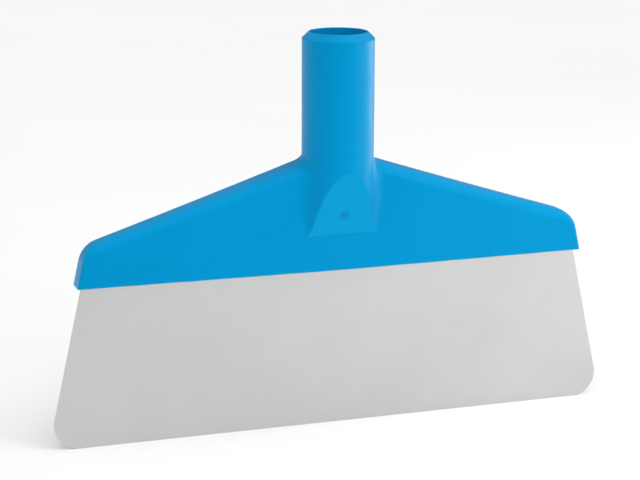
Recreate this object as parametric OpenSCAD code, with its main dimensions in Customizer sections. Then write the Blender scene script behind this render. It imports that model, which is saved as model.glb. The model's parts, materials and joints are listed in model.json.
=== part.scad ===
// Floor scraper head: a moulded holder with a threaded handle socket, and a flared steel blade locked into it.
// Millimetres. The origin is the middle of the blade's working edge, +Z runs up the socket's axis,
// +X runs along the working edge, and the faceted front of the holder looks towards -Y.

/* [Blade] */
// Width over the rounded corners of the working edge
blade_w = 260; // [220:1:300]
// Height of the blade that shows below the holder
blade_reach = 72.5; // [60:0.1:80]
// Sheet thickness
blade_t = 1.2; // [0.8:0.1:2]
// Radius of the two lower corners
blade_corner_r = 11; // [5:0.5:15]
// Angle by which each side leans outwards, in degrees from vertical
side_flare = 12.6; // [8:0.1:15]

/* [Blade tang] */
// Height of the tang hidden inside the holder
tang_h = 27; // [25:0.5:30]
// Width of the tang's flat top
tang_top_w = 92; // [84:1:110]
// Height of the shoulder where the tang turns inwards
tang_shoulder_h = 6; // [5:0.5:7]
// Diameter of the holes that the plastic flows through
lock_d = 7; // [5:0.5:7.5]
// Distance between neighbouring holes
lock_pitch = 38; // [30:1:38]
// Height of the holes above the holder's lower edge
lock_h = 10; // [8:0.5:10]

/* [Wings] */
// Distance that the holder stands out past each side of the blade
side_lip = 2.2; // [1.5:0.1:4]
// Slope of the roof, in degrees from horizontal
roof_slope = 17.6; // [16:0.1:19]
// Height of the roof's peak above the holder's lower edge
peak_rise = 53.8; // [50:0.1:56]
// Radius of the upper outer corners
wing_corner_r = 11.5; // [8:0.5:13]
// Depth of the front face ahead of the blade, at the middle
front_mid = 5.9; // [5:0.1:7]
// Depth of the front face ahead of the blade, at the ends
front_end = 3.8; // [3:0.1:4.5]
// Radius of the front face's corners at the lower edge
front_foot_r = 1.2; // [1:0.1:2.5]
// Depth of the rear face behind the blade, at the middle
rear_mid = 9.4; // [7:0.1:10]
// Depth of the rear face behind the blade, at the ends
rear_end = 6.3; // [4:0.1:7]
// Radius of the rear upper edge
rear_edge_r = 1; // [1:0.1:2]
// Bevel around the lower edge
lower_bevel = 0.6; // [0.3:0.1:1]

/* [Socket] */
// Height of the whole head
overall_h = 178.6; // [174:0.1:190]
// Outer diameter of the socket
socket_d = 32; // [30:0.5:34]
// Diameter of the plain entry at the mouth
entry_d = 25.2; // [25:0.1:26]
// Depth of the plain entry
entry_depth = 9; // [6:0.5:11]
// Depth of the whole hole
socket_depth = 50; // [47:1:52]
// Width of the flat rim around the mouth
rim_w = 0.1; // [0.1:0.1:1]

/* [Handle thread] */
// Diameter over the crests of the moulded thread
crest_d = 21.6; // [20:0.1:22]
// Diameter at the bottom of the groove
root_d = 24.4; // [23:0.1:24.6]
// Pitch of the single-start thread
thread_pitch = 5; // [4:0.5:5.5]
// Number of turns of the groove
thread_turns = 6; // [4:0.5:6]
// Width of the groove at the crest diameter
groove_w = 2.3; // [1.5:0.1:2.4]
// Width of the groove at its bottom
groove_root_w = 1.1; // [0.6:0.1:1.4]

/* [Front facet] */
// Height of the facet's tip above the holder's lower edge
facet_top = 45.8; // [38:0.1:50]
// Height of the facet's straight lower edge above the holder's lower edge
facet_bottom = 16.5; // [12:0.1:22]
// Height of the moulding gate's mark above the holder's lower edge
gate_rise = 25.8; // [22:0.1:30]
// Diameter of the dimple around the gate's mark
gate_dimple_d = 5; // [3:0.1:7]
// Depth of the dimple
gate_dimple_depth = 0.3; // [0.2:0.05:0.5]

/* [Hidden] */
$fn = 96;
hull_fn = 32;
cut = 0.5;
far = 60;
thread_facets = 30;
gate_stub_d = 1.3;
lock_count = 5;
holder_blue = [0.0, 0.57, 0.81];
steel_grey = [0.78, 0.78, 0.77];

// Half width of the blade's working edge if its corners were sharp
edge_half = blade_w / 2 - blade_corner_r + blade_corner_r * (tan(side_flare) + 1 / cos(side_flare));
corner_x = blade_w / 2 - blade_corner_r;
tang_shoulder_z = blade_reach + tang_shoulder_h;

wing_half = edge_half - blade_reach * tan(side_flare) + side_lip;
peak_z = blade_reach + peak_rise;

// Centre of the circle that touches both the wing's leaning side and the sloping roof
side_gap = wing_half * cos(side_flare) - wing_corner_r;
roof_gap = peak_rise * cos(roof_slope) - wing_corner_r;
lean = cos(side_flare + roof_slope);
wing_corner_x = (side_gap * cos(roof_slope) - roof_gap * sin(side_flare)) / lean;
wing_corner_z = blade_reach + (roof_gap * cos(side_flare) - side_gap * sin(roof_slope)) / lean;

socket_r = socket_d / 2;
facet_bottom_z = blade_reach + facet_bottom;
facet_angle = facet_lean(front_mid);
gate_depth = front_mid + (gate_rise - facet_bottom) * tan(facet_angle);
thread_len = thread_pitch * thread_turns;
rim_r = entry_d / 2 + rim_w;

function blade_side_x(z) = edge_half - z * tan(side_flare);

// Lean of a facet that runs from the socket's wall down to a wing face of the given depth
function facet_lean(depth) = atan((socket_r - depth) / (facet_top - facet_bottom));

// Turns a front-view outline into a plate of thickness t, centred on the XZ plane
module plate(t) {
    rotate([90, 0, 0]) linear_extrude(t, center = true) children();
}

module both_sides() {
    children();
    mirror([1, 0, 0]) children();
}

// Outline of half of the blade: working edge, rounded corner, leaning side and tapered tang
module half_blade_outline() {
    polygon([
        [0, 0],
        [corner_x, 0],
        [corner_x + blade_corner_r * cos(side_flare), blade_corner_r * (1 + sin(side_flare))],
        [blade_side_x(tang_shoulder_z), tang_shoulder_z],
        [tang_top_w / 2, blade_reach + tang_h],
        [0, blade_reach + tang_h]
    ]);
    translate([corner_x, blade_corner_r]) circle(blade_corner_r);
}

module blade_sheet() {
    plate(blade_t) difference() {
        both_sides() half_blade_outline();
        for (i = [0 : lock_count - 1])
            translate([(i - (lock_count - 1) / 2) * lock_pitch, blade_reach + lock_h]) circle(d = lock_d);
    }
}

// Rounded upper corner of a wing: a quarter of a disc at depth y, with a rounded rim of radius r
module wing_tip(r, y) {
    translate([wing_corner_x, y, wing_corner_z]) rotate([90, 0, 0])
        rotate_extrude(angle = 90, $fn = 2 * hull_fn)
            translate([wing_corner_r - r, 0]) circle(r, $fn = hull_fn);
}

// Lower outer corner of a wing at depth y, bevelled towards the underside
module wing_foot(r, y) {
    translate([wing_half - r, y, blade_reach]) {
        cylinder(lower_bevel, r - lower_bevel, r, $fn = hull_fn);
        translate([0, 0, lower_bevel]) cylinder(cut, r, r, $fn = hull_fn);
    }
}

// A layer of the wings' flat middle, as wide as the socket, with its sides drawn in by inset
module middle_layer(inset, z) {
    translate([-socket_r, inset - front_mid, z])
        cube([socket_d, front_mid + rear_mid - 2 * inset, lower_bevel / 2]);
}

// A ball under the roof's peak, touching both slopes
module ridge_ball(r, y) {
    translate([0, y, peak_z - r / cos(roof_slope)]) sphere(r, $fn = hull_fn);
}

module wings() {
    hull() {
        both_sides() {
            wing_tip(front_end, 0);
            wing_tip(rear_edge_r, rear_end - rear_edge_r);
            wing_foot(front_foot_r, front_foot_r - front_end);
            wing_foot(rear_edge_r, rear_end - rear_edge_r);
        }
        middle_layer(lower_bevel, blade_reach);
        middle_layer(0, blade_reach + lower_bevel);
        ridge_ball(front_mid, 0);
        ridge_ball(rear_edge_r, rear_mid - rear_edge_r);
    }
}

// Outside of the socket, from its bevelled rim down to the facets' lower edge
module socket_outside() {
    rotate_extrude() polygon([
        [0, facet_bottom_z],
        [socket_r, facet_bottom_z],
        [socket_r, overall_h - (socket_r - rim_r)],
        [rim_r, overall_h],
        [0, overall_h]
    ]);
}

// Everything beyond the plane that leans in from the socket's wall to a wing face of the given depth
module facet_cut(depth) {
    translate([0, -depth, facet_bottom_z]) rotate([facet_lean(depth), 0, 0])
        translate([-far / 2, -far, -far]) cube([far, far, 2 * far]);
}

// Outside of the socket with its front and rear facets, which run out into the wings' faces
module socket_body() {
    difference() {
        socket_outside();
        facet_cut(front_mid);
        mirror([0, 1, 0]) facet_cut(rear_mid);
    }
}

// Helical groove, deepest at its outer side, whose middle climbs one pitch a turn from z = 0
function groove_ring(i) = let (
    a = 360 * i / thread_facets,
    z = thread_pitch * i / thread_facets,
    flank = (groove_w - groove_root_w) / (root_d - crest_d),
    inner_r = crest_d / 2 - cut,
    inner_w = groove_w / 2 + flank * cut
) [
    [inner_r * cos(a), inner_r * sin(a), z - inner_w],
    [root_d / 2 * cos(a), root_d / 2 * sin(a), z - groove_root_w / 2],
    [root_d / 2 * cos(a), root_d / 2 * sin(a), z + groove_root_w / 2],
    [inner_r * cos(a), inner_r * sin(a), z + inner_w]
];

module thread_groove() {
    rings = thread_turns * thread_facets;
    points = [for (i = [0 : rings]) each groove_ring(i)];
    sides = [for (i = [0 : rings - 1], j = [0 : 3])
        let (a = 4 * i + j, b = 4 * i + (j + 1) % 4) each [[a, b, a + 4], [b, b + 4, a + 4]]];
    ends = [[3, 2, 1, 0], [4 * rings, 4 * rings + 1, 4 * rings + 2, 4 * rings + 3]];
    polyhedron(points, concat(ends, sides));
}

// Hole for the handle: a plain entry, then the threaded length, open only at the top
module socket_hole() {
    translate([0, 0, overall_h - socket_depth]) cylinder(socket_depth, d = crest_d);
    translate([0, 0, overall_h - entry_depth]) cylinder(entry_depth + cut, d = entry_d);
    translate([0, 0, overall_h - entry_depth - thread_len + thread_pitch / 2]) thread_groove();
}

// Shallow round dimple in the front facet, with the stub of the moulding gate standing in it
module gate_dimple() {
    translate([0, -gate_depth, blade_reach + gate_rise]) rotate([90 + facet_angle, 0, 0]) difference() {
        translate([0, 0, -gate_dimple_depth]) cylinder(gate_dimple_depth + cut, d = gate_dimple_d);
        translate([0, 0, -gate_dimple_depth - cut]) cylinder(gate_dimple_depth + cut, d = gate_stub_d);
    }
}

module holder() {
    color(holder_blue) difference() {
        union() {
            wings();
            socket_body();
        }
        socket_hole();
        blade_sheet();
        gate_dimple();
    }
}

module blade() {
    color(steel_grey) blade_sheet();
}

holder();
blade();
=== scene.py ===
"""Looks of a floor scraper head: a moulded blue holder with a threaded socket, and a satin steel blade.

Lengths are named in millimetres, as in the CAD source, and turned into metres where a mesh is made.
The lights are placed in metres.
"""

import json
import math

import bmesh
import bpy
import numpy as np
from mathutils import Matrix, Vector


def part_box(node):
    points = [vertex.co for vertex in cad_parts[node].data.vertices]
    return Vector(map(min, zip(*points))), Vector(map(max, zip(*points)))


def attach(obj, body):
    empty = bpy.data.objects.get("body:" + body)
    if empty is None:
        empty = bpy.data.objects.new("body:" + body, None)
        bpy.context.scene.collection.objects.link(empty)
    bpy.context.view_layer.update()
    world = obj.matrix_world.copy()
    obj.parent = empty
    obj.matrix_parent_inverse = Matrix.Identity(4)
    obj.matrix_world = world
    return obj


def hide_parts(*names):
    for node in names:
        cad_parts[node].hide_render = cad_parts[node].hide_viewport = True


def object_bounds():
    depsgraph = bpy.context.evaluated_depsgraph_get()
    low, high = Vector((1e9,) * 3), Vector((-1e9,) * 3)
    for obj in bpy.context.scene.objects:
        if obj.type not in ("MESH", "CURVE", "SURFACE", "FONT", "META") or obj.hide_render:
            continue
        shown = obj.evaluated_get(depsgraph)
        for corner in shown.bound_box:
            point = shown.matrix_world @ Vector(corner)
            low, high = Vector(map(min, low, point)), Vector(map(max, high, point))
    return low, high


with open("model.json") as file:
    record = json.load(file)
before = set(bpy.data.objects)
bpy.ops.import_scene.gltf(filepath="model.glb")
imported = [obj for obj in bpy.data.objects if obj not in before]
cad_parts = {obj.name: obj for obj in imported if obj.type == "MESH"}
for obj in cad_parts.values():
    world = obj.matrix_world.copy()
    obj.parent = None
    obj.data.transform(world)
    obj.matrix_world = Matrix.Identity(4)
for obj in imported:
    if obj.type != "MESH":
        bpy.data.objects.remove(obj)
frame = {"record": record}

CAD_BOX = [list(corner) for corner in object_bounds()]
MM = 0.001
OBJECT_BODY = "root"

# ---------------------------------------------------------------- sizes, in millimetres

HOLDER_LOW, HOLDER_HIGH = (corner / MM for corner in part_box("holder"))
BLADE_LOW, BLADE_HIGH = (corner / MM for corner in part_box("blade"))
MOUNTS = {m["name"]: m for m in frame["record"]["mounts"]}

LOWER = HOLDER_LOW.z
TOP = HOLDER_HIGH.z
SOCKET_R = HOLDER_HIGH.y
WING_HALF = HOLDER_HIGH.x
BLADE_HALF = BLADE_HIGH.x
BLADE_T = BLADE_HIGH.y - BLADE_LOW.y
TANG_TOP = BLADE_HIGH.z
CREST_R = MOUNTS["handle_thread"]["dims"]["r_mm"]
ENTRY_R = MOUNTS["handle_entry"]["dims"]["r_mm"]
ENTRY_DEPTH = MOUNTS["handle_entry"]["dims"]["length_mm"]
SOCKET_DEPTH = ENTRY_DEPTH + MOUNTS["handle_thread"]["dims"]["length_mm"]

# Wings: the roof falls from its peak and flattens a little towards the ends
SIDE_FLARE = math.radians(12.6)
ROOF_PEAK = 54.1
ROOF_FALL = 0.332
ROOF_SAG = 1.14e-4
WING_CORNER_R = 11.5
FRONT_MID, FRONT_END = 5.9, 3.8
FRONT_FOOT_R = 1.2
REAR_MID, REAR_END = 9.4, 6.3
PLAN_FLAT = 18.0
REAR_EDGE_R = 1.0
LOWER_EDGE_R = 0.6

# Border along the roof: its oval's height, and its depth as a part of the front depth. It fades out where the
# distances to roof and side differ by less than BORDER_FADE, and meets the front face in a soft crease.
BORDER_DROP, BORDER_REACH = 6.9, 1.08
BORDER_FADE = 6.0
CREASE_R = 3.0
CREASE_TURN = math.cos(math.radians(17.5))
TINY = 1e-6

# Socket: a bevel at 45 degrees runs up to the mouth
RIM_R = ENTRY_R + 0.45
MOUTH_EDGE_R = 0.3
BEVEL_EDGE_R = 0.5
RIM_EDGE_R = 0.25
BEVEL_TURN = math.cos(math.radians(45))

# Fillet between the socket and the wings, and the heights between which its radius changes
FILLET_ROOF, FILLET_FACE, FILLET_FOOT = 3.0, 5.0, 2.5
ROOF_TO_FACE = 48, 40
FACE_TO_FOOT = 35, 19

# Facets on the socket's front and rear; below them the socket ends inside the wings
SOCKET_FOOT = 8.5
FACET_TOP, FACET_BOTTOM = 45.8, 16.5
FACET_EDGE_R = 0.5
FACET_MOST_TURN = 0.95
GATE_RISE = 25.8
DIMPLE_R, DIMPLE_DEPTH = 2.5, 0.3
GATE_R, GATE_STUB = 0.7, 0.1
GATE_PIT_R = 0.35

# Handle thread: a single-start right-hand groove
PITCH = 5.0
GROOVE_TURNS = 6.0
GROOVE_DEPTH = 1.4
GROOVE_W, GROOVE_ROOT_W = 2.3, 1.1
GROOVE_FADE = 0.3
GROOVE_BASE = TOP - ENTRY_DEPTH - GROOVE_TURNS * PITCH + PITCH / 2

# Blade: leaning sides, rounded lower corners, and a tang with lock holes
BLADE_CORNER_R = 11.0
TANG_SHOULDER = 6.0
TANG_TOP_HALF = 46.0
LOCK_R, LOCK_PITCH, LOCK_RISE, LOCK_COUNT = 3.5, 38.0, 10.0, 5
BLADE_EDGE_R, BLADE_EDGE_STEPS = 0.15, 3
CORNER_POINTS, LOCK_POINTS = 40, 48
WELD_DISTANCE = 1e-6


# ---------------------------------------------------------------- distance fields, negative inside

def round_and(a, b, r, turn=0.0):
    """Where both fields are negative, with the edge between them rounded to r.

    turn is the cosine of the angle between the two surfaces' normals.
    """
    u, v = a + r, b + r
    in_corner = (u > v * turn) & (v > u * turn)
    reach = np.sqrt(np.maximum(u * u + v * v - 2 * u * v * turn, 0) / (1 - turn * turn))
    return np.where(in_corner, reach - r, np.maximum(a, b))


def round_or(a, b, r, turn=0.0):
    """Where either field is negative, with the inner corner between them filled to radius r."""
    return -round_and(-a, -b, r, turn)


def smooth_step(value, start, end):
    t = np.clip((value - start) / (end - start), 0, 1)
    return t * t * (3 - 2 * t)


def face_depth(x, middle, end):
    """Distance from the blade's middle plane to a wing's face: flat near the socket, then an even taper."""
    bow = np.hypot(x, PLAN_FLAT) - PLAN_FLAT
    full_bow = math.hypot(WING_HALF, PLAN_FLAT) - PLAN_FLAT
    return middle - (middle - end) * bow / full_bow


def border_field(outline, ahead, front, along_roof):
    """The front of a wing and its outer edge.

    The edge is a small rounding at the ends. Along the roof it is an oval shoulder that meets the front face
    in a soft crease. outline and ahead are the distances past the wing's outline and in front of the blade's
    middle plane.
    """
    drop = FRONT_FOOT_R + (BORDER_DROP - FRONT_FOOT_R) * along_roof
    reach = FRONT_FOOT_R + (BORDER_REACH * front - FRONT_FOOT_R) * along_roof
    start = (front - FRONT_FOOT_R) * (1 - along_roof)
    u = np.maximum(outline / drop + 1, TINY)
    v = np.maximum((ahead - start) / reach, TINY)
    size = np.hypot(u, v)
    shoulder = (size - 1) * size / np.hypot(u / drop, v / reach)
    return round_and(shoulder, ahead - front, CREASE_R * along_roof, CREASE_TURN)


def wing_field(x, y, z):
    """Both wings: leaning sides and a sloping roof in the front view, between a front and a rear face."""
    across, rise = np.abs(x), z - LOWER
    side = (across - WING_HALF) * math.cos(SIDE_FLARE) + rise * math.sin(SIDE_FLARE)
    fall = ROOF_FALL - 2 * ROOF_SAG * across
    steep = np.hypot(1, fall)
    roof = (rise - ROOF_PEAK + ROOF_FALL * across - ROOF_SAG * across**2) / steep
    corner_turn = (math.cos(SIDE_FLARE) * fall + math.sin(SIDE_FLARE)) / steep
    outline = round_and(side, roof, WING_CORNER_R, corner_turn)
    front = face_depth(x, FRONT_MID, FRONT_END)
    rear = face_depth(x, REAR_MID, REAR_END)
    along_roof = smooth_step(roof - side, -BORDER_FADE, BORDER_FADE)
    shape = np.maximum(
        border_field(outline, -y, front, along_roof), round_and(outline, y - rear, REAR_EDGE_R)
    )
    return round_and(shape, -rise, LOWER_EDGE_R)


def socket_field(x, y, z):
    """The outside of the socket, with the bevel and the rim around its mouth."""
    rho = np.hypot(x, y)
    bevel = (rho - RIM_R + z - TOP) * BEVEL_TURN
    upper = round_and(rho - SOCKET_R, bevel, BEVEL_EDGE_R, BEVEL_TURN)
    upper = round_and(upper, z - TOP, RIM_EDGE_R, BEVEL_TURN)
    return np.maximum(upper, LOWER + SOCKET_FOOT - z)


def facet_lean(depth):
    return math.atan((SOCKET_R - depth) / (FACET_TOP - FACET_BOTTOM))


def facet_field(y, z, depth, facing):
    """Plane that leans in from the socket's wall to a wing's face, on the side that facing names: -1 or 1."""
    lean = facet_lean(depth)
    rise = z - LOWER - FACET_BOTTOM
    return (facing * y - depth) * math.cos(lean) - rise * math.sin(lean)


def body_field(x, y, z):
    """The wings and the socket, blended by a fillet, with the two facets cut out of the blend."""
    wings = wing_field(x, y, z)
    rise = z - LOWER
    fillet = (
        FILLET_ROOF
        + (FILLET_FACE - FILLET_ROOF) * smooth_step(rise, *ROOF_TO_FACE)
        - (FILLET_FACE - FILLET_FOOT) * smooth_step(rise, *FACE_TO_FOOT)
    )
    blend = round_or(wings, socket_field(x, y, z), fillet)
    rho = np.maximum(np.hypot(x, y), 1)
    for depth, facing in ((FRONT_MID, -1), (REAR_MID, 1)):
        turn = np.clip(facing * y / rho * math.cos(facet_lean(depth)), 0, FACET_MOST_TURN)
        blend = round_and(blend, facet_field(y, z, depth, facing), FACET_EDGE_R, turn)
    return np.minimum(wings, blend)


def socket_hole_field(x, y, z):
    """The plain entry and, below it, the threaded hole."""
    rho = np.hypot(x, y)
    angle = np.arctan2(y, x) / (2 * math.pi)
    along = (z - GROOVE_BASE) / PITCH - angle
    loop = np.round(along)
    offset = np.abs(along - loop) * PITCH
    travelled = loop + angle
    fade = smooth_step(travelled, 0, GROOVE_FADE) * (travelled < GROOVE_TURNS)
    flank = (GROOVE_W - GROOVE_ROOT_W) / 2
    groove = GROOVE_DEPTH * fade * np.clip((GROOVE_W / 2 - offset) / flank, 0, 1)
    threaded = np.maximum(rho - CREST_R - groove, TOP - SOCKET_DEPTH - z)
    entry = np.maximum(rho - ENTRY_R, TOP - ENTRY_DEPTH - z)
    return np.minimum(threaded, entry)


def tang_field(x, y, z):
    """The part of the blade inside the holder, with its lock holes."""
    across, rise = np.abs(x), z - LOWER
    shoulder_half = edge_half() - (LOWER + TANG_SHOULDER) * math.tan(SIDE_FLARE)
    side = (across - shoulder_half) * math.cos(SIDE_FLARE) + (rise - TANG_SHOULDER) * math.sin(SIDE_FLARE)
    run, climb = shoulder_half - TANG_TOP_HALF, TANG_TOP - LOWER - TANG_SHOULDER
    slope = ((across - shoulder_half) * climb + (rise - TANG_SHOULDER) * run) / math.hypot(run, climb)
    outline = np.maximum(np.maximum(side, slope), z - TANG_TOP)
    for lock_x in lock_places():
        outline = np.maximum(outline, LOCK_R - np.hypot(x - lock_x, rise - LOCK_RISE))
    return np.maximum(outline, np.abs(y) - BLADE_T / 2)


def gate_field(x, y, z, body):
    """body with a shallow dimple in the front facet, and the broken-off stub of the moulding gate in it."""
    lean = facet_lean(FRONT_MID)
    gate_y = -FRONT_MID - (GATE_RISE - FACET_BOTTOM) * math.tan(lean)
    dy, dz = y - gate_y, z - LOWER - GATE_RISE
    out = -dy * math.cos(lean) - dz * math.sin(lean)
    up = -dy * math.sin(lean) + dz * math.cos(lean)
    bowl_r = (DIMPLE_R**2 + DIMPLE_DEPTH**2) / (2 * DIMPLE_DEPTH)
    spread = np.hypot(x, up)
    bowl = np.hypot(spread, out - bowl_r + DIMPLE_DEPTH) - bowl_r
    stub = np.maximum(spread - GATE_R, out - GATE_STUB)
    pit = np.hypot(spread, out - GATE_STUB) - GATE_PIT_R
    near = np.hypot(spread, out) < 2 * DIMPLE_R
    marked = np.maximum(np.minimum(np.maximum(body, -bowl), stub), -pit)
    return np.where(near, marked, body)


def holder_field(x, y, z):
    body = gate_field(x, y, z, body_field(x, y, z))
    hollow = round_and(body, -socket_hole_field(x, y, z), MOUTH_EDGE_R)
    return np.maximum(hollow, -tang_field(x, y, z))


def edge_half():
    """Half width of the working edge if its corners were sharp."""
    lean_back = math.tan(SIDE_FLARE) + 1 / math.cos(SIDE_FLARE)
    return BLADE_HALF - BLADE_CORNER_R + BLADE_CORNER_R * lean_back


def lock_places():
    return [(i - (LOCK_COUNT - 1) / 2) * LOCK_PITCH for i in range(LOCK_COUNT)]


# ---------------------------------------------------------------- surface of a field

CUBE = np.array([(0, 0), (1, 0), (1, 1), (0, 1)])
BISECTIONS = 14
GRADIENT_STEP = 0.01
FEATURE_SHARE = 0.08
FINE, MEDIUM, COARSE = 0.25, 0.5, 1.0
GRID_MARGIN = 1.0
GATE_SPAN, MOUTH_SPAN, SOCKET_SPAN = 3, 2, 20
LEAST_LENGTH = 1e-12


def grid_lines(spans):
    """Positions of grid planes: each span is (start, end, spacing), and starts where the last one ended."""
    lines = [np.array([spans[0][0]])]
    for start, end, spacing in spans:
        lines.append(np.linspace(start, end, max(1, round((end - start) / spacing)) + 1)[1:])
    return np.concatenate(lines)


def mirrored(spans):
    return [(-end, -start, spacing) for start, end, spacing in reversed(spans)] + spans


def gradient(field, points):
    slopes = []
    for axis in range(3):
        step = np.zeros(3)
        step[axis] = GRADIENT_STEP
        slopes.append(field(*(points + step).T) - field(*(points - step).T))
    normals = np.stack(slopes, axis=1)
    return normals / np.maximum(np.linalg.norm(normals, axis=1, keepdims=True), LEAST_LENGTH)


def edge_crossings(field, inside, lines, axis):
    """Every grid edge along an axis that passes through the surface.

    Gives each edge's lower corner, whether that corner is inside, and the point where the edge crosses.
    """
    low = np.argwhere(np.diff(inside.astype(np.int8), axis=axis) != 0)
    high = low.copy()
    high[:, axis] += 1
    low_point = np.stack([lines[k][low[:, k]] for k in range(3)], axis=1)
    high_point = np.stack([lines[k][high[:, k]] for k in range(3)], axis=1)
    starts_inside = inside[tuple(low.T)]
    inner = np.where(starts_inside[:, None], low_point, high_point)
    outer = np.where(starts_inside[:, None], high_point, low_point)
    for _ in range(BISECTIONS):
        middle = (inner + outer) / 2
        is_in = (field(*middle.T) < 0)[:, None]
        inner, outer = np.where(is_in, middle, inner), np.where(is_in, outer, middle)
    return low, starts_inside, (inner + outer) / 2


def contour(field, lines):
    """Dual contouring of a field over a grid.

    Each cell that the surface passes through has one point, placed where the tangent planes of its crossings
    meet, and each crossed edge has one quad.
    """
    y, z = np.meshgrid(lines[1], lines[2], indexing="ij")
    inside = np.stack([field(np.full_like(y, x), y, z) < 0 for x in lines[0]])
    cells_shape = tuple(n - 1 for n in inside.shape)
    quads, owners, points, normals = [], [], [], []
    for axis in range(3):
        low, starts_inside, crossing = edge_crossings(field, inside, lines, axis)
        normal = gradient(field, crossing)
        corners = []
        for back_b, back_c in 1 - CUBE:
            cell = low.copy()
            cell[:, (axis + 1) % 3] -= back_b
            cell[:, (axis + 2) % 3] -= back_c
            corners.append(np.ravel_multi_index(tuple(cell.T), cells_shape))
            owners.append(corners[-1])
            points.append(crossing)
            normals.append(normal)
        quad = np.stack(corners, axis=1)
        quads.append(np.where(starts_inside[:, None], quad, quad[:, ::-1]))
    cells, owner = np.unique(np.concatenate(owners), return_inverse=True)
    quads = np.searchsorted(cells, np.concatenate(quads))
    place = feature_points(np.concatenate(points), np.concatenate(normals), owner, len(cells))
    corner = np.unravel_index(cells, cells_shape)
    lowest = np.stack([lines[k][corner[k]] for k in range(3)], axis=1)
    highest = np.stack([lines[k][corner[k] + 1] for k in range(3)], axis=1)
    return np.clip(place, lowest, highest), quads


def feature_points(points, normals, owner, count):
    """For each owner, the point nearest all its tangent planes, close to the mean of its crossings."""
    def total(values):
        return np.bincount(owner, weights=values, minlength=count)

    amount = total(np.ones(len(owner)))
    mean = np.stack([total(points[:, k]) for k in range(3)], axis=1) / amount[:, None]
    offset = np.einsum("ij,ij->i", normals, points - mean[owner])
    pull = np.stack([total(normals[:, k] * offset) for k in range(3)], axis=1)
    rows = [np.stack([total(normals[:, j] * normals[:, k]) for k in range(3)], axis=1) for j in range(3)]
    spread = np.stack(rows, axis=1)
    sizes, axes = np.linalg.eigh(spread)
    keep = sizes > FEATURE_SHARE * sizes[:, -1:]
    inverse = np.where(keep, 1 / np.where(keep, sizes, 1), 0)
    shift = np.einsum("nij,nj,nkj,nk->ni", axes, inverse, axes, pull)
    return mean + shift


def mesh_object(name, points, faces, smooth=True):
    mesh = bpy.data.meshes.new(name)
    mesh.from_pydata((np.asarray(points) * MM).tolist(), [], np.asarray(faces).tolist())
    mesh.update()
    mesh.polygons.foreach_set("use_smooth", [smooth] * len(mesh.polygons))
    piece = bpy.data.objects.new(name, mesh)
    bpy.context.scene.collection.objects.link(piece)
    return piece


# ---------------------------------------------------------------- pieces

def holder_grid():
    """Grid planes, closest together at the gate's mark and at the mouth."""
    gate_z = LOWER + GATE_RISE
    return [
        grid_lines(mirrored([
            (0, GATE_SPAN, FINE),
            (GATE_SPAN, SOCKET_SPAN, MEDIUM),
            (SOCKET_SPAN, WING_HALF + GRID_MARGIN, COARSE),
        ])),
        grid_lines(mirrored([(0, FINE, FINE), (FINE, SOCKET_R + GRID_MARGIN - FINE, MEDIUM)])),
        grid_lines([
            (LOWER - GRID_MARGIN, gate_z - GATE_SPAN, MEDIUM),
            (gate_z - GATE_SPAN, gate_z + GATE_SPAN, FINE),
            (gate_z + GATE_SPAN, TOP - MOUTH_SPAN, MEDIUM),
            (TOP - MOUTH_SPAN, TOP + GRID_MARGIN, FINE),
        ]),
    ]


def make_holder():
    points, quads = contour(holder_field, holder_grid())
    return mesh_object("holder_moulding", points, quads)


def arc_points(centre, r, start, end, count):
    """Points on an arc between two angles, in radians."""
    return [
        (centre[0] + r * math.cos(a), centre[1] + r * math.sin(a)) for a in np.linspace(start, end, count)
    ]


def blade_outline():
    corner = (BLADE_HALF - BLADE_CORNER_R, BLADE_CORNER_R)
    shoulder_z = LOWER + TANG_SHOULDER
    right = arc_points(corner, BLADE_CORNER_R, -math.pi / 2, SIDE_FLARE, CORNER_POINTS)
    right.append((edge_half() - shoulder_z * math.tan(SIDE_FLARE), shoulder_z))
    right.append((TANG_TOP_HALF, TANG_TOP))
    return right + [(-x, z) for x, z in reversed(right)]


def weld_seams(mesh):
    """Joins the faces, sides and rounded edges that a curve leaves apart, and shades them flat."""
    shell = bmesh.new()
    shell.from_mesh(mesh)
    bmesh.ops.remove_doubles(shell, verts=shell.verts, dist=WELD_DISTANCE)
    shell.to_mesh(mesh)
    shell.free()
    mesh.polygons.foreach_set("use_smooth", [False] * len(mesh.polygons))
    mesh.update()


def make_blade():
    """A filled 2D curve with holes, extruded to the sheet's thickness with its edges rounded."""
    curve = bpy.data.curves.new("blade_plate", "CURVE")
    curve.dimensions = "2D"
    curve.fill_mode = "BOTH"
    curve.extrude = (BLADE_T / 2 - BLADE_EDGE_R) * MM
    curve.bevel_depth = BLADE_EDGE_R * MM
    curve.bevel_resolution = BLADE_EDGE_STEPS
    curve.offset = -BLADE_EDGE_R * MM
    loops = [blade_outline()]
    for lock_x in lock_places():
        ring = arc_points((lock_x, LOWER + LOCK_RISE), LOCK_R, 0, 2 * math.pi, LOCK_POINTS + 1)
        loops.append(ring[:-1])
    for loop in loops:
        spline = curve.splines.new("POLY")
        spline.points.add(len(loop) - 1)
        spline.use_cyclic_u = True
        for point, (x, z) in zip(spline.points, loop):
            point.co = (x * MM, z * MM, 0, 1)
    sketch = bpy.data.objects.new("blade_curve", curve)
    bpy.context.scene.collection.objects.link(sketch)
    depsgraph = bpy.context.evaluated_depsgraph_get()
    mesh = bpy.data.meshes.new_from_object(sketch.evaluated_get(depsgraph))
    mesh.transform(Matrix.Rotation(math.pi / 2, 4, "X"))
    bpy.data.objects.remove(sketch)
    weld_seams(mesh)
    piece = bpy.data.objects.new("blade_plate", mesh)
    bpy.context.scene.collection.objects.link(piece)
    return piece


# ---------------------------------------------------------------- materials

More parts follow.
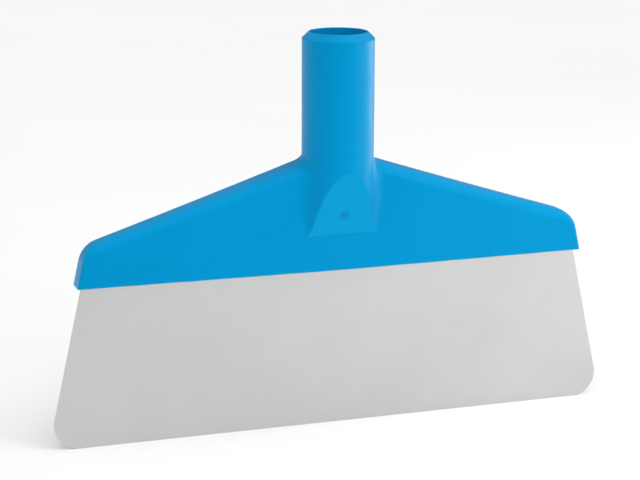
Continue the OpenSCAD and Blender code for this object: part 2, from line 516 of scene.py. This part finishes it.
BLUE_DARK, BLUE_LIGHT = (0.0, 0.248, 0.519, 1), (0.0, 0.266, 0.551, 1)
# The next blue is painted light: a paler blue laid on the front facet for the brighter light that the facet
# catches
BLUE_FACET_PAINTED_LIGHT = (0.0, 0.31, 0.6, 1)
BLUE_SPECK = (0.0, 0.34, 0.7, 1)
BLUE_WORN = (0.02, 0.38, 0.74, 1)
PLASTIC_SHEEN = (0.1, 0.7, 1.0, 1.0)
STEEL_DARK, STEEL_LIGHT = (0.555, 0.555, 0.55, 1), (0.6, 0.6, 0.595, 1)
PAPER_DARK, PAPER_LIGHT = (0.9, 0.9, 0.9, 1), (0.92, 0.92, 0.92, 1)
EVEN = (1, 1, 1)
ALONG_WORKING_EDGE = (0.02, 1, 1)
NOISE_LOW, NOISE_HIGH = 0.3, 0.7
FACET_WITHIN, FACET_OUTSIDE = (math.cos(math.radians(a)) for a in (4, 9))
MIX_COLOUR_INPUTS, MIX_COLOUR_OUTPUT = (0, 6, 7), 2


def new_material(name):
    material = bpy.data.materials.new(name)
    material.use_nodes = True
    tree = material.node_tree
    shader = tree.nodes["Principled BSDF"]
    return material, tree, shader


def feed(tree, socket, value):
    """Links another node's output to an input, or sets the input to a value."""
    if isinstance(value, bpy.types.NodeSocket):
        tree.links.new(value, socket)
    else:
        socket.default_value = value


def add_node(tree, kind, settings=(), **inputs):
    """A node with its settings as attributes, and its inputs set to values or linked to sockets."""
    made = tree.nodes.new(kind)
    for key, value in dict(settings).items():
        setattr(made, key, value)
    for key, value in inputs.items():
        feed(tree, made.inputs[key.replace("_", " ")], value)
    return made


def noise(tree, stretch, scale, detail=4.0, roughness=0.55):
    """Noise in the object's own space: scale is in features per metre, times stretch on each axis."""
    place = tree.nodes.get("Place") or add_node(tree, "ShaderNodeTexCoord", {"name": "Place"})
    mapping = add_node(tree, "ShaderNodeMapping", Vector=place.outputs["Object"], Scale=stretch)
    made = add_node(
        tree, "ShaderNodeTexNoise", Vector=mapping.outputs["Vector"],
        Scale=scale, Detail=detail, Roughness=roughness,
    )
    return made.outputs["Fac"]


def remap(tree, value, low, high, to_low, to_high):
    made = add_node(tree, "ShaderNodeMapRange", Value=value)
    for key, number in (("From Min", low), ("From Max", high), ("To Min", to_low), ("To Max", to_high)):
        made.inputs[key].default_value = number
    return made.outputs["Result"]


def blend_colour(tree, factor, first, second):
    made = add_node(tree, "ShaderNodeMix", {"data_type": "RGBA"})
    for index, value in zip(MIX_COLOUR_INPUTS, (factor, first, second)):
        feed(tree, made.inputs[index], value)
    return made.outputs[MIX_COLOUR_OUTPUT]


def maths(tree, operation, first, second):
    made = add_node(tree, "ShaderNodeMath", {"operation": operation})
    for socket, value in zip(made.inputs, (first, second)):
        feed(tree, socket, value)
    return made.outputs[0]


def bump(tree, height, distance, strength, below=None):
    made = add_node(tree, "ShaderNodeBump", Height=height, Distance=distance, Strength=strength)
    if below is not None:
        tree.links.new(below, made.inputs["Normal"])
    return made.outputs["Normal"]


def painted_facet_light_mask(tree):
    """1 on the front facet and 0 elsewhere, told apart by the way they face. The facet gets a paler blue
    there: painted light, standing in for the brighter light that the facet catches.
    """
    lean = facet_lean(FRONT_MID)
    normal = add_node(tree, "ShaderNodeNewGeometry").outputs["Normal"]
    facing = add_node(tree, "ShaderNodeVectorMath", {"operation": "DOT_PRODUCT"})
    tree.links.new(normal, facing.inputs[0])
    facing.inputs[1].default_value = (0, -math.cos(lean), -math.sin(lean))
    return remap(tree, facing.outputs["Value"], FACET_OUTSIDE, FACET_WITHIN, 0, 1)


def holder_plastic():
    """Matte blue: soft flow marks, fine specks, paler worn edges, painted light on the front facet, a slight
    waviness and a moulded grain.
    """
    material, tree, shader = new_material("holder_plastic")
    flow = remap(tree, noise(tree, (1, 1, 1.6), 26, 3), NOISE_LOW, NOISE_HIGH, 0, 1)
    speck = remap(tree, noise(tree, EVEN, 1500, 2), 0.35, 0.65, 0, 1)
    base = blend_colour(tree, flow, BLUE_DARK, BLUE_LIGHT)
    # Painted light: the front facet gets a paler blue for the brighter light that it catches
    base = blend_colour(tree, painted_facet_light_mask(tree), base, BLUE_FACET_PAINTED_LIGHT)
    base = blend_colour(tree, maths(tree, "MULTIPLY", speck, 0.12), base, BLUE_SPECK)
    edges = add_node(tree, "ShaderNodeNewGeometry").outputs["Pointiness"]
    worn = remap(tree, edges, 0.52, 0.6, 0, 0.25)
    base = blend_colour(tree, worn, base, BLUE_WORN)
    tree.links.new(base, shader.inputs["Base Color"])
    rough = remap(tree, noise(tree, EVEN, 60, 5), NOISE_LOW, NOISE_HIGH, 0.33, 0.41)
    tree.links.new(rough, shader.inputs["Roughness"])
    shader.inputs["Specular IOR Level"].default_value = 0.2
    shader.inputs["Specular Tint"].default_value = PLASTIC_SHEEN
    waves = bump(tree, noise(tree, EVEN, 35, 1), 0.002, 0.12)
    grain = bump(tree, noise(tree, EVEN, 2200, 2), 0.0002, 0.12, waves)
    tree.links.new(grain, shader.inputs["Normal"])
    return material


def blade_steel():
    """Satin sheet: fine rolling streaks along the working edge, over broad clouds of shade and gloss."""
    material, tree, shader = new_material("blade_steel")
    shader.inputs["Metallic"].default_value = 1.0
    rolled = noise(tree, ALONG_WORKING_EDGE, 1600, 3, 0.7)
    cloud = remap(tree, noise(tree, EVEN, 18, 3), NOISE_LOW, NOISE_HIGH, 0, 1)
    base = blend_colour(tree, cloud, STEEL_DARK, STEEL_LIGHT)
    tree.links.new(base, shader.inputs["Base Color"])
    streaks = remap(tree, rolled, NOISE_LOW, NOISE_HIGH, -0.03, 0.03)
    rough = maths(tree, "ADD", streaks, remap(tree, cloud, 0, 1, 0.3, 0.35))
    tree.links.new(rough, shader.inputs["Roughness"])
    lines = bump(tree, rolled, 0.0001, 0.1)
    tree.links.new(lines, shader.inputs["Normal"])
    return material


def floor_paper():
    material, tree, shader = new_material("floor_paper")
    shade = remap(tree, noise(tree, EVEN, 4, 2), NOISE_LOW, NOISE_HIGH, 0, 1)
    base = blend_colour(tree, shade, PAPER_DARK, PAPER_LIGHT)
    tree.links.new(base, shader.inputs["Base Color"])
    shader.inputs["Roughness"].default_value = 0.9
    shader.inputs["Specular IOR Level"].default_value = 0.1
    return material


# ---------------------------------------------------------------- stage

CAMERA_LEFT, CAMERA_UP, CAMERA_ROLL = (math.radians(a) for a in (18.84, 13.66, 0.23))
CAMERA_DISTANCE = 866.7
CAMERA_LENS, CAMERA_SENSOR = 109.4, 36
CAMERA_AIM = Vector((-8.1, 0, -3.75))
FLOOR_HALF = 3000
SUN_ANGLE = 60

# Brightness of the surroundings: the same all round, and what each direction adds to that
SKY_LEVEL = 0.083
SKY_SIDES = (((-1, 0, 0), 0.38), ((1, 0, 0), 0.087), ((0, 1, 0), 0.03), ((0, 0, 1), 0.454))

# Where the softboxes point, in metres
OBJECT_AIM = (0, 0, 0.09)
FLOOR_AIM = (0.22, -0.2, 0)


def add_camera():
    """Front left of the object and a little above it, aimed close to the middle of its box."""
    centre = (Vector(CAD_BOX[0]) + Vector(CAD_BOX[1])) / 2
    away = Vector((
        -math.sin(CAMERA_LEFT) * math.cos(CAMERA_UP),
        -math.cos(CAMERA_LEFT) * math.cos(CAMERA_UP),
        math.sin(CAMERA_UP),
    ))
    data = bpy.data.cameras.new("camera")
    data.lens = CAMERA_LENS
    data.sensor_width = CAMERA_SENSOR
    camera = bpy.data.objects.new("camera", data)
    bpy.context.scene.collection.objects.link(camera)
    turn = away.to_track_quat("Z", "Y") @ Matrix.Rotation(CAMERA_ROLL, 4, "Z").to_quaternion()
    place = centre + (CAMERA_AIM + away * CAMERA_DISTANCE) * MM
    camera.matrix_world = Matrix.Translation(place) @ turn.to_matrix().to_4x4()
    bpy.context.scene.camera = camera


def add_floor():
    sides = (-1, -1), (1, -1), (1, 1), (-1, 1)
    corners = [(x * FLOOR_HALF, y * FLOOR_HALF, 0) for x, y in sides]
    floor = mesh_object("floor", corners, [(0, 1, 2, 3)], smooth=False)
    floor.data.materials.append(floor_paper())


def place_light(name, data, away, place=(0, 0, 0)):
    """Puts a light at a place in metres, shining against the direction away."""
    light = bpy.data.objects.new(name, data)
    bpy.context.scene.collection.objects.link(light)
    light.matrix_world = Matrix.Translation(place) @ away.to_track_quat("Z", "Y").to_matrix().to_4x4()


def add_softbox(name, place, size, power, aim=OBJECT_AIM):
    data = bpy.data.lights.new(name, "AREA")
    data.shape = "RECTANGLE"
    data.size, data.size_y = size
    data.energy = power
    place_light(name, data, Vector(place) - Vector(aim), place)


def add_sun(name, direction, power):
    """A broad distant source, which lights the floor evenly."""
    data = bpy.data.lights.new(name, "SUN")
    data.energy = power
    data.angle = math.radians(SUN_ANGLE)
    place_light(name, data, Vector(direction))


def add_world():
    """Soft surroundings: a dim level all round, and more from above and from the left."""
    world = bpy.data.worlds.new("studio")
    world.use_nodes = True
    tree = world.node_tree
    sky = tree.nodes["Background"]
    sky.inputs["Color"].default_value = (1, 1, 1, 1)
    direction = add_node(tree, "ShaderNodeTexCoord").outputs["Generated"]
    strength = SKY_LEVEL
    for side, amount in SKY_SIDES:
        facing = add_node(tree, "ShaderNodeVectorMath", {"operation": "DOT_PRODUCT"})
        tree.links.new(direction, facing.inputs[0])
        facing.inputs[1].default_value = side
        lobe = maths(tree, "MAXIMUM", facing.outputs["Value"], 0)
        strength = maths(tree, "ADD", strength, maths(tree, "MULTIPLY", lobe, amount))
    tree.links.new(strength, sky.inputs["Strength"])
    bpy.context.scene.world = world


def add_lights():
    """Softboxes at the right, one of them for the floor that the steel mirrors, and three broad suns."""
    add_softbox("key", (0.8, -0.6, 0.12), (0.5, 0.3), 1.29)
    add_softbox("front_right", (0.6, -0.86, 0.41), (0.3, 0.2), 1.1)
    add_softbox("floor_right", (0.24, -0.28, 0.3), (0.15, 0.15), 0.2, aim=FLOOR_AIM)
    add_softbox("rim", (0.75, 0.12, 0.08), (0.5, 0.25), 1.4)
    add_sun("front_left", (-0.5, -0.8, 0.7), 0.62)
    add_sun("upper_front", (0.1, -0.35, 1), 0.92)
    add_sun("upper_right", (0.7, -0.2, 1), 0.62)


def set_view():
    view = bpy.context.scene.view_settings
    view.view_transform = "Standard"
    view.look = "None"


# ---------------------------------------------------------------- the object

add_camera()

holder = make_holder()
holder.data.materials.append(holder_plastic())
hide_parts("holder")
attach(holder, OBJECT_BODY)

blade = make_blade()
blade.data.materials.append(blade_steel())
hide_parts("blade")
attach(blade, OBJECT_BODY)

add_floor()
add_world()
add_lights()
set_view()
